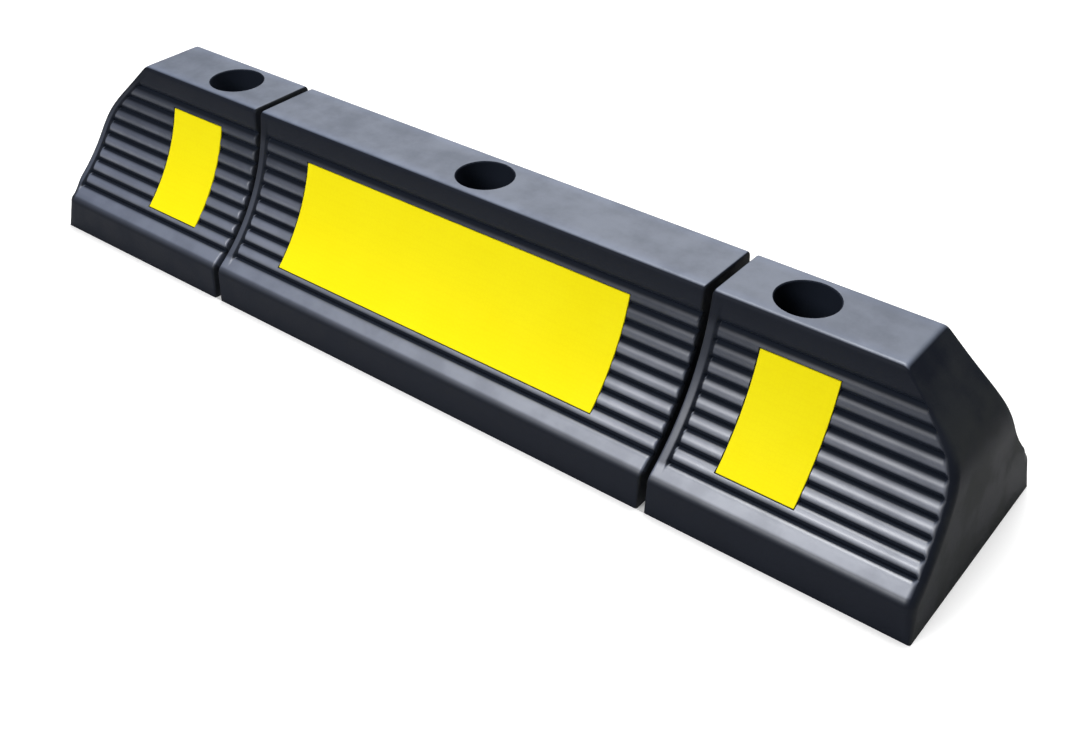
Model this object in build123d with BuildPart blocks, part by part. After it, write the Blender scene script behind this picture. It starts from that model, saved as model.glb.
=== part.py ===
from build123d import *
import os
from math import atan2, cos, pi, radians, sin, sqrt, tan

# Rubber wheel stop for a parking bay. Three moulded modules interlock at the base, reflective
# panels lie on smooth seats in the ribbed faces, and a steel washer lies in each bolt well.
# Millimetres. Origin at the middle of the base, X along the stop, Y across it, Z up.
# The front looks to -Y. The stop is the same when it is turned end for end.

# Overall size
overall_length = 560.0
overall_width = 130.0
overall_height = 100.0

# Modules along the stop
centre_length = 285.0
module_gap = 4.0
gap_edge_chamfer = 1.6

# Cross-section: flat top, steep shoulder, hollow face that hugs a tyre, low plinth
top_width = 40.5
top_edge_radius = 3.0
shoulder_drop = 9.5
shoulder_angle = 8.0
plinth_height = 20.0
plinth_draft = 0.7
plinth_nose_radius = 6.0

# Outer ends: a bevel, rounded into a wall that leans out towards its foot
top_length = 478.0
bevel_drop = 33.5
bevel_round = 40.0
end_draft = 7.0
bevel_edge_radius = 3.0

# Round ribs along the faces, between sharp grooves that run out at the right-hand edge of each
# module, as one faces it, and stop short of its left-hand edge at a plain border
groove_count = 9
groove_depth = 2.8
ledge_width = 12.0
border_width = 4.5
border_relief = 0.25

# Reflective panels, almost level with the ribs, each on a smooth seat between them
centre_panel_length = 210.0
end_panel_length = 39.5
end_panel_x = 194.0
panel_thickness = 1.0
panel_sink = 0.2
panel_clearance = 0.5

# Bolt wells and their washers
end_bolt_x = 183.0
well_diameter = 30.0
well_depth = 55.0
bolt_hole_diameter = 14.0
washer_thickness = 3.0
washer_clearance = 0.3

# Dovetail tongues on the end modules, in sockets under the centre module's ends
tongue_reach = 24.0
tongue_root_width = 32.0
tongue_tip_width = 40.0
tongue_height = 28.0
tongue_corner_radius = 3.0
tongue_clearance = 0.35

# Cored underside
wall_thickness = 15.0
cell_height = 60.0
cell_web = 10.0
cells_beside_bolt = 2
bolt_block_length = 54.0

# Cutters and fillings run past the faces they meet by this much
run_past = 10.0

# Places along the stop
half_length = overall_length / 2
half_width = overall_width / 2
half_centre = centre_length / 2
gap_face_x = half_centre + module_gap
end_wall_x = half_length - end_draft
bolt_places = {"left": -end_bolt_x, "centre": 0.0, "right": end_bolt_x}
panel_places = {
    "left": (-end_panel_x, end_panel_length),
    "centre": (0.0, centre_panel_length),
    "right": (end_panel_x, end_panel_length),
}

# Cross-section planes: on each, local X points out of that face and local Y points up
turned_end_for_end = Plane((0, 0, 0), x_dir=(0, -1, 0), z_dir=(-1, 0, 0))
face_planes = {"front": turned_end_for_end, "rear": Plane.YZ}

# Corners of half the cross-section
base_corner = Vector(half_width, 0)
plinth_edge = Vector(half_width - plinth_draft, plinth_height)
lean = radians(shoulder_angle)
shoulder_foot = Vector(top_width / 2 + shoulder_drop * tan(lean), overall_height - shoulder_drop)
top_corner = Vector(top_width / 2, overall_height)
down_shoulder = Vector(sin(lean), -cos(lean))

# The hollow face is one arc, tangent to the shoulder and ending at the plinth's edge
out_of_shoulder = Vector(cos(lean), sin(lean))
face_chord = plinth_edge - shoulder_foot
face_radius = face_chord.length**2 / (2 * face_chord.dot(out_of_shoulder))
face_centre = shoulder_foot + out_of_shoulder * face_radius
plinth_edge_angle = atan2(plinth_edge.Y - face_centre.Y, plinth_edge.X - face_centre.X)
face_run = face_radius * (plinth_edge_angle - lean + pi)


def face_point(run, depth):
    """Point of the cross-section: run up the face from the plinth's edge, depth below the face."""
    angle = plinth_edge_angle - run / face_radius
    return face_centre + Vector(cos(angle), sin(angle)) * (face_radius + depth)


# Grooves are spaced from the ledge to half a pitch below the shoulder
groove_pitch = (face_run - ledge_width) / (groove_count - 0.5)
groove_runs = [ledge_width + index * groove_pitch for index in range(groove_count)]
groove_floor = border_relief + groove_depth

# The panels reach from the crest of the lowest rib to the crest of the highest
panel_low = groove_runs[0] + groove_pitch / 2
panel_high = groove_runs[-1] - groove_pitch / 2
panel_back = border_relief + panel_sink + panel_thickness


def face_band(low, high, deep, shallow):
    """Strip of the cross-section that follows the face between two runs and two depths."""
    middle = (low + high) / 2
    with BuildSketch() as band:
        with BuildLine():
            ThreePointArc(face_point(low, deep), face_point(middle, deep), face_point(high, deep))
            Line(face_point(high, deep), face_point(high, shallow))
            ThreePointArc(face_point(high, shallow), face_point(middle, shallow), face_point(low, shallow))
            Line(face_point(low, shallow), face_point(low, deep))
        make_face()
    return band.sketch


# Cross-section of a module without its grooves
with BuildSketch() as block_section:
    with BuildLine():
        Line(base_corner, plinth_edge)
        TangentArc(shoulder_foot, plinth_edge, tangent=down_shoulder)
        Line(shoulder_foot, top_corner)
        mirror(about=Plane.YZ)
        Line((-top_corner.X, top_corner.Y), top_corner)
        Line((-base_corner.X, base_corner.Y), base_corner)
    make_face()
    fillet(block_section.vertices().group_by(Axis.Y)[1], plinth_nose_radius)
    fillet(block_section.vertices().group_by(Axis.Y)[-1], top_edge_radius)

# Side view of the right-hand end module
with BuildSketch() as end_outline:
    with BuildLine():
        FilletPolyline(
            (half_length, 0),
            (end_wall_x, overall_height - bevel_drop),
            (top_length / 2, overall_height),
            (gap_face_x, overall_height),
            radius=[bevel_round, bevel_edge_radius],
        )
        Polyline((gap_face_x, overall_height), (gap_face_x, 0), (half_length, 0))
    make_face()

# All that the grooves take off one face, from below the plinth's nose to above the top
with BuildSketch() as groove_ripple:
    ledge_crest = groove_runs[0] - groove_pitch / 2
    nose_exit = face_point(-plinth_nose_radius, border_relief)
    ledge_middle = face_point((ledge_crest - plinth_nose_radius) / 2, border_relief)
    ledge_top = face_point(ledge_crest, border_relief)
    up_ledge = Vector(ledge_top.Y - face_centre.Y, face_centre.X - ledge_top.X)
    shoulder_start = face_point(face_run, border_relief)
    top_exit = shoulder_start - down_shoulder * (shoulder_drop + run_past)
    with BuildLine():
        ThreePointArc(nose_exit, ledge_middle, ledge_top)
        TangentArc(ledge_top, face_point(groove_runs[0], groove_floor), tangent=up_ledge)
        for run in groove_runs[:-1]:
            ThreePointArc(
                face_point(run, groove_floor),
                face_point(run + groove_pitch / 2, border_relief),
                face_point(run + groove_pitch, groove_floor),
            )
        TangentArc(shoulder_start, face_point(groove_runs[-1], groove_floor), tangent=down_shoulder)
        Polyline(
            shoulder_start,
            top_exit,
            (half_width + run_past, top_exit.Y),
            (half_width + run_past, nose_exit.Y),
            nose_exit,
        )
    make_face()

# Cross-section of the cored cells, one on each side of the web along the middle
with BuildSketch() as cell_section:
    inner_radius = face_radius + wall_thickness
    cell_side = half_width - wall_thickness
    side_top = face_centre.Y - sqrt(inner_radius**2 - (face_centre.X - cell_side) ** 2)
    roof_side = face_centre.X - sqrt(inner_radius**2 - (face_centre.Y - cell_height) ** 2)
    with BuildLine():
        Polyline(
            (roof_side, cell_height),
            (cell_web / 2, cell_height),
            (cell_web / 2, -run_past),
            (cell_side, -run_past),
            (cell_side, side_top),
        )
        RadiusArc((roof_side, cell_height), (cell_side, side_top), inner_radius)
    make_face()
    mirror(about=Plane.YZ)

# Plan of the dovetail tongue on the right-hand end module
with BuildSketch() as tongue_plan:
    with BuildLine():
        Polyline(
            (gap_face_x + gap_edge_chamfer, -tongue_root_width / 2),
            (gap_face_x, -tongue_root_width / 2),
            (gap_face_x - tongue_reach, -tongue_tip_width / 2),
            (gap_face_x - tongue_reach, tongue_tip_width / 2),
            (gap_face_x, tongue_root_width / 2),
            (gap_face_x + gap_edge_chamfer, tongue_root_width / 2),
            close=True,
        )
    make_face()
    fillet(tongue_plan.vertices().group_by(Axis.X)[0], tongue_corner_radius)


def panel_block(x, length, side, deep, shallow, clearance=0.0):
    """Block in the outline of a panel, centred at x, between two depths below one face."""
    plane = face_planes[side]
    with BuildPart() as block:
        with BuildSketch(plane.offset(x * plane.z_dir.X)):
            add(face_band(panel_low - clearance, panel_high + clearance, deep, shallow))
        extrude(amount=length / 2 + clearance, both=True)
    return block.part


def core_cells(start, length):
    """Cutter for the pair of cells that starts at start along the stop."""
    with BuildPart() as cutter:
        with BuildSketch(Plane.YZ.offset(start)):
            add(cell_section.sketch)
        extrude(amount=length)
    return cutter.part


# Grooves of the right-hand end module: at the front they start from its gap-side border, and at
# the rear they stop at a border that follows its outer end
with BuildPart() as front_grooves:
    with BuildSketch(face_planes["front"].offset(-half_length - run_past)):
        add(groove_ripple.sketch)
    extrude(amount=half_length + run_past - gap_face_x - border_width)
with BuildPart() as rear_grooves:
    with BuildSketch(face_planes["rear"].offset(gap_face_x - run_past)):
        add(groove_ripple.sketch)
    extrude(amount=half_length + run_past - gap_face_x)
    with BuildSketch(Plane.XZ):
        with Locations((-border_width, 0)):
            add(end_outline.sketch)
    extrude(amount=overall_width, both=True, mode=Mode.INTERSECT)

# Socket that takes a tongue, open below and at the module's end
with BuildPart() as tongue_socket:
    with BuildSketch(Plane.XY.offset(-run_past)):
        add(tongue_plan.sketch)
        offset(amount=tongue_clearance)
    extrude(amount=run_past + tongue_height + tongue_clearance)

# Centre module
with BuildPart() as centre_module:
    with BuildSketch(Plane.YZ):
        add(block_section.sketch)
    extrude(amount=half_centre, both=True)
    gap_faces = centre_module.faces().filter_by(Axis.X)
    chamfer(gap_faces.edges().filter_by(lambda edge: edge.center().Z > 0), gap_edge_chamfer)
    for side, plane in face_planes.items():
        with BuildSketch(plane.offset(-half_centre - run_past)):
            add(groove_ripple.sketch)
        extrude(amount=centre_length + run_past - border_width, mode=Mode.SUBTRACT)
        add(panel_block(*panel_places["centre"], side, run_past, panel_back, panel_clearance))
        recess = panel_block(*panel_places["centre"], side, panel_back, -run_past, panel_clearance)
        add(recess, mode=Mode.SUBTRACT)
    with PolarLocations(0, 2):
        add(tongue_socket.part, mode=Mode.SUBTRACT)
    cells_start = bolt_block_length / 2
    cells_end = gap_face_x - tongue_reach - tongue_clearance - cell_web
    cell_pitch = (cells_end - cells_start + cell_web) / cells_beside_bolt
    for index in range(cells_beside_bolt):
        cells = core_cells(cells_start + index * cell_pitch, cell_pitch - cell_web)
        with PolarLocations(0, 2):
            add(cells, mode=Mode.SUBTRACT)
    with Locations((bolt_places["centre"], 0, overall_height)):
        CounterBoreHole(bolt_hole_diameter / 2, well_diameter / 2, well_depth)

# Right-hand end module
with BuildPart() as right_end_module:
    with BuildSketch(Plane.YZ.offset(gap_face_x)):
        add(block_section.sketch)
    extrude(amount=half_length - gap_face_x)
    with BuildSketch(Plane.XZ):
        add(end_outline.sketch)
    extrude(amount=half_width, both=True, mode=Mode.INTERSECT)
    gap_face = right_end_module.faces().sort_by(Axis.X)[0]
    chamfer(gap_face.edges().filter_by(lambda edge: edge.center().Z > 0), gap_edge_chamfer)
    with BuildSketch(Plane.XY):
        add(tongue_plan.sketch)
    extrude(amount=tongue_height)
    add(front_grooves.part, mode=Mode.SUBTRACT)
    add(rear_grooves.part, mode=Mode.SUBTRACT)
    for side in face_planes:
        add(panel_block(*panel_places["right"], side, run_past, panel_back, panel_clearance))
        recess = panel_block(*panel_places["right"], side, panel_back, -run_past, panel_clearance)
        add(recess, mode=Mode.SUBTRACT)
    cells_start = end_bolt_x + bolt_block_length / 2
    add(core_cells(cells_start, end_wall_x - wall_thickness - cells_start), mode=Mode.SUBTRACT)
    with Locations((bolt_places["right"], 0, overall_height)):
        CounterBoreHole(bolt_hole_diameter / 2, well_diameter / 2, well_depth)

# Left-hand end module: the same moulding, turned end for end
with BuildPart() as left_end_module:
    add(right_end_module.part, rotation=(0, 0, 180))

os.makedirs("parts", exist_ok=True)

centre_module.part.label = "centre_module"
export_step(centre_module.part, "parts/centre_module.step")
right_end_module.part.label = "right_end_module"
export_step(right_end_module.part, "parts/right_end_module.step")
left_end_module.part.label = "left_end_module"
export_step(left_end_module.part, "parts/left_end_module.step")

# Reflective panels, curved to their seats
for side in face_planes:
    for place, (x, length) in panel_places.items():
        with BuildPart() as reflector:
            add(panel_block(x, length, side, panel_back, panel_back - panel_thickness))
        reflector.part.label = f"{side}_{place}_reflector"
        export_step(reflector.part, f"parts/{reflector.part.label}.step")

# Washers on the floors of the bolt wells
with BuildPart() as anchor_washers:
    with BuildSketch(Plane.XY.offset(overall_height - well_depth)):
        with Locations(*[(x, 0) for x in bolt_places.values()]):
            Circle(well_diameter / 2 - washer_clearance)
            Circle(bolt_hole_diameter / 2, mode=Mode.SUBTRACT)
    extrude(amount=washer_thickness)
anchor_washers.part.label = "anchor_washers"
export_step(anchor_washers.part, "parts/anchor_washers.step")
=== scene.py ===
from math import asin, atan2, cos, pi, radians, sin, sqrt, tan
from typing import NamedTuple

import bmesh
import bpy
import numpy as np
from bpy.props import FloatProperty, FloatVectorProperty, IntProperty, PointerProperty
from mathutils import Matrix, Vector


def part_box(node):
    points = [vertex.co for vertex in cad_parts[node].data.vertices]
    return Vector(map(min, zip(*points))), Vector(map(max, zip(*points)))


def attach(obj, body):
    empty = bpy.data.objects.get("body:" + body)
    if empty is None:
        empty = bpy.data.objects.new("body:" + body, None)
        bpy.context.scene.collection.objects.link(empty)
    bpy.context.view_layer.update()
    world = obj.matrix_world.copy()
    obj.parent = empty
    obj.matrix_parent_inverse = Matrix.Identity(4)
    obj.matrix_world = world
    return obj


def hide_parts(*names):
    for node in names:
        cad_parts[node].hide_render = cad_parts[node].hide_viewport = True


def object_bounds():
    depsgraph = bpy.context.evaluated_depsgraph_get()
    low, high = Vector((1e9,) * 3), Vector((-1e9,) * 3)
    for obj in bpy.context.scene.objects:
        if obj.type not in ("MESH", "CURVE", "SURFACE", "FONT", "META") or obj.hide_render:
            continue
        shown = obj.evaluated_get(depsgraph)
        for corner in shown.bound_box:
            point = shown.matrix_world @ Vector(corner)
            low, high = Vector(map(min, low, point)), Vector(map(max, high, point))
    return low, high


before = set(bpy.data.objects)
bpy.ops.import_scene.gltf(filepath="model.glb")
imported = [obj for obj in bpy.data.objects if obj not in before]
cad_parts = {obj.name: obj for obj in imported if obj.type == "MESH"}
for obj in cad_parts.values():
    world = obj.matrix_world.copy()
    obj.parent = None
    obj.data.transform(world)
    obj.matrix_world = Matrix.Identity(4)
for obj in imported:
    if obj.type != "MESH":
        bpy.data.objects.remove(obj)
cad_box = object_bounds()

bl_info = {
    "name": "Wheel stop",
    "version": (1, 0, 0),
    "blender": (4, 5, 0),
    "location": "3D View > Sidebar > Wheel stop",
    "description": "Dresses a rubber wheel stop: ribbed modules, reflective panels and washers",
    "category": "Object",
}

# Lengths are metres. X runs along the stop, and the front face looks to -Y.
SIDES = {"front": -1.0, "rear": 1.0}
FAR = 1.0  # farther than any place on the stop


# Sizes and colours


def property_of(kind, **settings):
    """Kind of property that is written as a name, a description and a default."""
    return lambda name, description, default: kind(
        name=name, description=description, default=default, **settings
    )


length = property_of(FloatProperty, min=0.0, precision=5, unit="LENGTH")
rotation = property_of(FloatProperty, unit="ROTATION")
share = property_of(FloatProperty, min=0.0, max=1.0, subtype="FACTOR")
colour = property_of(FloatVectorProperty, size=3, min=0.0, max=1.0, subtype="COLOR")
location = property_of(FloatVectorProperty, size=3, subtype="TRANSLATION", unit="LENGTH")
euler = property_of(FloatVectorProperty, size=3, subtype="EULER", unit="ROTATION")


def extent(node, axis):
    """Length of a node's box along one axis."""
    low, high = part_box(node)
    return high[axis] - low[axis]


def middle(node, axis):
    """Centre of a node's box along one axis."""
    low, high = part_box(node)
    return (high[axis] + low[axis]) / 2


class StopBody(bpy.types.PropertyGroup):
    """Cross-section, ends and gaps of the rubber modules"""

    overall_length: length("Length", "Length of the whole stop", cad_box[1].x - cad_box[0].x)
    overall_width: length("Width", "Width of the base", cad_box[1].y - cad_box[0].y)
    overall_height: length("Height", "Height of the stop", cad_box[1].z - cad_box[0].z)
    centre_length: length(
        "Centre length", "Length of the centre module", extent("centre_module", 0)
    )
    module_gap: length("Gap", "Open gap between two modules", 0.004)
    gap_edge: length("Gap edge", "Rounding of the edges beside a gap", 0.0012)
    top_width: length("Top width", "Width of the flat top, before its edges are rounded", 0.0405)
    top_edge_radius: length("Top edge", "Rounding of the top's long edges", 0.003)
    shoulder_drop: length("Shoulder", "Height of the steep shoulder below the top", 0.0095)
    shoulder_angle: rotation("Shoulder angle", "Lean of the shoulder from upright", radians(8.0))
    plinth_height: length("Plinth", "Height of the plinth's edge", 0.020)
    plinth_draft: length("Plinth draft", "Draft over the plinth's height", 0.0007)
    plinth_nose_radius: length("Plinth nose", "Rounding of the plinth's edge", 0.006)
    top_length: length("Top length", "Length of the flat top from end to end", 0.478)
    bevel_drop: length("Bevel drop", "Height of the sloping part of an outer end", 0.0335)
    bevel_round: length("Bevel round", "Softness of the bend from slope to end wall", 0.0165)
    end_draft: length("End draft", "How far an end wall leans out from its bend to its foot", 0.007)
    end_edge: length("End edge", "Rounding of an outer end's edges", 0.0014)
    end_corner: length("End corner", "Rounding of an end's corner where the ribs run out", 0.0046)
    plinth_corner: length("Plinth corner", "Rounding of the plinth where the ribs run out", 0.0045)
    border_corner: length("Border corner", "Rounding of the plinth beside the border", 0.0065)


class StopRibs(bpy.types.PropertyGroup):
    """Round ribs of the hollow faces"""

    groove_count: IntProperty(name="Grooves", description="Grooves in one face", default=9, min=2)
    groove_depth: length("Groove depth", "Depth of a groove below the crests", 0.0028)
    ledge_width: length("Ledge", "Plain ledge above the plinth's edge", 0.012)
    # The ledge's wear, round the nose too, carries a painted highlight.
    worn_nose: length("Worn nose", "Reach of the ledge's wear round the plinth's edge", 0.0042)
    border_width: length("Border", "Plain strip where the grooves stop", 0.0045)
    border_fade: length("Border fade", "Run over which a groove rises to the border", 0.0014)
    border_relief: length("Border relief", "How far the crests lie below the border", 0.00025)
    # The border's wear carries a painted highlight.
    border_wear: share("Border wear", "Wear of the border beside that of the crests", 0.4)


class StopPanels(bpy.types.PropertyGroup):
    """Reflective panels and their seats"""

    centre_length: length(
        "Centre length", "Length of a centre panel", extent("front_centre_reflector", 0)
    )
    end_length: length("End length", "Length of an end panel", extent("front_right_reflector", 0))
    end_place: length(
        "End place", "Place of an end panel from the middle", middle("front_right_reflector", 0)
    )
    thickness: length("Thickness", "Thickness of a panel", 0.001)
    sink: length("Sink", "How far a panel lies below the crests", 0.0002)
    clearance: length("Clearance", "Open joint round a panel", 0.0005)
    edge: length("Edge", "Rounding of a panel's edges", 0.00025)


class StopBolts(bpy.types.PropertyGroup):
    """Bolt wells and washers"""

    end_place: length("End place", "Distance of an end bolt from the middle", 0.183)
    well_diameter: length("Well diameter", "Diameter of a bolt well", 0.030)
    well_depth: length("Well depth", "Depth of a bolt well", 0.055)
    well_edge: length("Well edge", "Broken edge of a well's mouth", 0.0005)
    hole_diameter: length("Hole diameter", "Diameter of a bolt hole", 0.014)
    washer_diameter: length("Washer diameter", "Diameter of a washer", extent("anchor_washers", 1))
    washer_thickness: length(
        "Washer thickness", "Thickness of a washer", extent("anchor_washers", 2)
    )
    washer_edge: length("Washer edge", "Rounding of a washer's edges", 0.0004)


class StopUnderside(bpy.types.PropertyGroup):
    """Dovetail joints and cored cells under the modules"""

    tongue_reach: length("Tongue reach", "Length of a dovetail tongue", 0.024)
    tongue_root: length("Tongue root", "Width of a tongue at its root", 0.032)
    tongue_tip: length("Tongue tip", "Width of a tongue at its tip", 0.040)
    tongue_height: length("Tongue height", "Height of a tongue", 0.028)
    tongue_radius: length("Tongue radius", "Rounding of a tongue's tip", 0.003)
    tongue_clearance: length("Tongue clearance", "Play of a tongue in its socket", 0.00035)
    wall: length("Wall", "Thickness of the walls round the cells", 0.015)
    cell_height: length("Cell height", "Height of the cells", 0.060)
    cell_web: length("Cell web", "Thickness of the webs between the cells", 0.010)
    cell_count: IntProperty(
        name="Cells", description="Cells on each side of the centre bolt", default=2, min=1
    )
    bolt_block: length("Bolt block", "Length of the solid block round a bolt hole", 0.054)


class StopFinish(bpy.types.PropertyGroup):
    """Colours of the finishes"""

    rubber: colour("Rubber", "Moulded rubber", (0.0112, 0.0135, 0.0205))
    # Bloom is partly painted sheen: it makes what faces up paler and bluer, as if lit from above.
    bloom: colour("Bloom", "Pale bloom on surfaces that face up", (0.122, 0.143, 0.190))
    # The worn crest is partly a painted highlight on the crests, brightest low on the face.
    crest: colour("Worn crest", "Crests of the ribs, scuffed by tyres", (0.130, 0.155, 0.228))
    dust: colour("Dust", "Dusty patches on the outer ends", (0.032, 0.035, 0.036))
    # Grime is painted shade in the grooves and the bolt wells.
    grime: colour("Grime", "Dark deposit in the grooves and wells", (0.0145, 0.019, 0.030))
    sheet: colour("Sheet", "Reflective sheet", (0.98, 0.85, 0.003))
    sheet_cell: colour("Sheet cells", "Walls of the sheet's fine cells", (0.92, 0.755, 0.002))
    zinc: colour("Zinc", "Zinc plating", (0.52, 0.53, 0.54))
    zinc_dull: colour("Dull zinc", "Dull patches of the plating", (0.33, 0.34, 0.35))
    floor: colour("Floor", "Pale floor", (0.80, 0.80, 0.80))
    crest_sheen: share("Crest sheen", "Polish of the worn crests", 1.0)
    bloom_sheen: share("Bloom sheen", "Polish of the pale bloom", 0.3)


class StopCamera(bpy.types.PropertyGroup):
    """Viewpoint"""

    place: location("Place", "Where the camera stands", (0.390768, -0.468663, 0.423236))
    turn: euler(
        "Turn", "How the camera is turned", [radians(a) for a in (54.0971, -0.6138, 37.5473)]
    )
    focal_length: FloatProperty(
        name="Focal length", description="In mm, on a 36 mm sensor", default=45.179, min=1.0
    )


class WheelStop(bpy.types.PropertyGroup):
    """All sizes and colours of the wheel stop"""

    body: PointerProperty(type=StopBody)
    ribs: PointerProperty(type=StopRibs)
    panels: PointerProperty(type=StopPanels)
    bolts: PointerProperty(type=StopBolts)
    underside: PointerProperty(type=StopUnderside)
    finish: PointerProperty(type=StopFinish)
    camera: PointerProperty(type=StopCamera)


# Node trees


def adds(operation):
    """Method of a value that adds a math node to its tree."""
    return lambda value, *others: value.nodes.math(operation, value, *others)


class Value:
    """One output of a node. Arithmetic with it adds math nodes."""

    def __init__(self, nodes, socket):
        self.nodes, self.socket = nodes, socket

    __add__, __sub__, __mul__, __truediv__ = map(adds, ("ADD", "SUBTRACT", "MULTIPLY", "DIVIDE"))
    __gt__, __lt__, __abs__ = map(adds, ("GREATER_THAN", "LESS_THAN", "ABSOLUTE"))
    at_least, at_most, smooth_min = map(adds, ("MAXIMUM", "MINIMUM", "SMOOTH_MIN"))
    root, fraction, cosine, sine = map(adds, ("SQRT", "FRACT", "COSINE", "SINE"))

    def __rsub__(self, other):
        return self.nodes.math("SUBTRACT", other, self)

    def __neg__(self):
        return self * -1.0

    def ramp(self, start, stop, low=0.0, high=1.0):
        """Smooth step from low to high as the value goes from start to stop."""
        inputs = dict(enumerate((self, start, stop, low, high)))
        return self.nodes.add("ShaderNodeMapRange", inputs, interpolation_type="SMOOTHSTEP")[0]

    def fall(self, start, stop, low=0.0):
        """Smooth step down from 1."""
        return self.ramp(start, stop, 1.0, low)

    def between(self, low, high):
        """Low where this mask is 0 and high where it is 1."""
        return self.ramp(0.0, 1.0, low, high)

    def blend(self, first, second):
        """First colour where this mask is 0 and second where it is 1."""
        first, second = (c if isinstance(c, Value) else rgba(c) for c in (first, second))
        return self.nodes.add("ShaderNodeMix", {0: self, 6: first, 7: second}, data_type="RGBA")[2]

    def split(self):
        """Parts of a vector."""
        return self.nodes.add("ShaderNodeSeparateXYZ", {0: self})


class Outputs:
    """Outputs of a node, by name or in order."""

    def __init__(self, nodes, node):
        self.nodes, self.node = nodes, node

    def __getitem__(self, key):
        return Value(self.nodes, self.node.outputs[key])

    def pick(self, *keys):
        return [self[key] for key in keys]


class Nodes:
    """Adds nodes to a tree. Each input is a value of another node or a plain one."""

    def __init__(self, tree):
        self.tree = tree

    def fill(self, node, inputs):
        """Links or sets a node's inputs."""
        for key, value in inputs.items():
            if isinstance(value, Value):
                self.tree.links.new(value.socket, node.inputs[key])
            else:
                node.inputs[key].default_value = value

    def add(self, kind, inputs=None, **settings):
        """Adds a node and gives its outputs."""
        node = self.tree.nodes.new(kind)
        for name, value in settings.items():
            setattr(node, name, value)
        self.fill(node, inputs or {})
        return Outputs(self, node)

    def geometry(self, kind, inputs=None, **settings):
        """Adds a geometry node and gives its first output."""
        return self.add(f"GeometryNode{kind}", inputs, **settings)[0]

    def position(self):
        return self.geometry("InputPosition").split()

    def normal(self):
        return self.add("ShaderNodeNewGeometry")["Normal"].split()

    def math(self, operation, *values):
        return self.add("ShaderNodeMath", dict(enumerate(values)), operation=operation)[0]

    def join(self, x=0.0, y=0.0, z=0.0):
        return self.add("ShaderNodeCombineXYZ", {"X": x, "Y": y, "Z": z})[0]

    def noise(self, vector, scale, detail, roughness):
        inputs = {"Vector": vector, "Scale": scale, "Detail": detail, "Roughness": roughness}
        return self.add("ShaderNodeTexNoise", inputs)[0]

    def bump(self, height, strength, distance):
        inputs = {"Height": height, "Strength": strength, "Distance": distance}
        return self.add("ShaderNodeBump", inputs)["Normal"]

    def group(self, maker, inputs):
        """Places a shared shader group with its own values."""
        tree = shared_tree("ShaderNodeTree", maker, inputs)
        return self.add("ShaderNodeGroup", inputs, node_tree=tree)

    def finished(self, shape, given):
        """What a geometry tree puts out: the shape as one plain mesh in its finish."""
        whole = self.geometry("RealizeInstances", {"Geometry": shape})
        dressed = {"Geometry": whole, "Material": given["Finish"]}
        return {"Geometry": self.geometry("SetMaterial", dressed)}


def rgba(rgb):
    return (*rgb, 1.0)


# Kinds of the sockets that aren't plain numbers
SOCKETS = {
    "Geometry": "NodeSocketGeometry",
    "Finish": "NodeSocketMaterial",
    "Vector": "NodeSocketVector",
}


def shared_tree(kind, maker, inputs):
    """The tree that a maker fills and names, built the first time it is asked for."""
    tree = bpy.data.node_groups.get(maker.__name__)
    if tree:
        return tree
    tree = bpy.data.node_groups.new(maker.__name__, kind)

    def add_sockets(in_out, names):
        for name in names:
            kind_of_socket = SOCKETS.get(name, "NodeSocketFloat")
            tree.interface.new_socket(name, in_out=in_out, socket_type=kind_of_socket)

    add_sockets("INPUT", inputs)
    nodes = Nodes(tree)
    outputs = maker(nodes, nodes.add("NodeGroupInput"))
    add_sockets("OUTPUT", outputs)
    nodes.fill(tree.nodes.new("NodeGroupOutput"), outputs)
    return tree


# Shader groups that the finishes share

NOISE_SPAN = (0.3, 0.7)  # most of a noise lies between these


def surface_grain(nodes, given):
    """Fine pebbled grain and broad mottling."""
    fine = nodes.noise(given["Vector"], given["Grain Scale"], detail=3.0, roughness=0.6)
    broad = nodes.noise(given["Vector"], given["Mottle Scale"], detail=4.0, roughness=0.55)
    broad_height = 0.35
    return {"Height": broad * broad_height + fine, "Mottle": broad.ramp(*NOISE_SPAN)}


def upward_patches(nodes, given):
    """Mask of surfaces that face up, broken up by noise, for settled dust and for bloom with
    painted sheen.
    """
    patches = nodes.noise(given["Vector"], given["Patch Scale"], detail=5.0, roughness=0.6)
    kept = 1.0 - given["Patchiness"] * patches.ramp(*NOISE_SPAN)
    return {"Mask": nodes.normal()["Z"].ramp(given["Start"], given["Full"]) * kept}


# Finishes. Each one gives the inputs of its material's shader.

SCUFF_HIGHLIGHT_DEPTH = 0.4  # part of a groove's depth that tyres reach, and so the scuffs and their painted highlight
SCUFF_HIGHLIGHT_FACE = (0.030, 0.082)  # heights between which the scuffs and their painted highlight thin out to the share below
SCUFF_HIGHLIGHT_HIGH = 0.2
SCUFF_HIGHLIGHT_END = (0.081, 0.089)  # heights between which they all but stop
SCUFF_HIGHLIGHT_SHOULDER = 0.05
SCUFF_HIGHLIGHT_MOTTLE = 0.8  # share that is left on mottled places
RECESS_SHADE_DEPTH = (0.15, 0.7)  # parts of a groove's depth between which the painted shade sets in
END_FACING = (0.5, 0.9)  # X of the normal, where dust sets in
EDGE_HIGHLIGHT_SPAN = (0.011, 0.019)  # distance from the axis, where a painted highlight pales a top towards its edges
EDGE_HIGHLIGHT_SHARE = 0.3
CELL_WALL = (0.02, 0.12)  # of the sheet's cells, as a distance from their edges
GLOW_REACH = (0.5, 2.0)  # from the floor's middle, where its glow rises from the share below
GLOW_NEAR = 0.45


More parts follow.
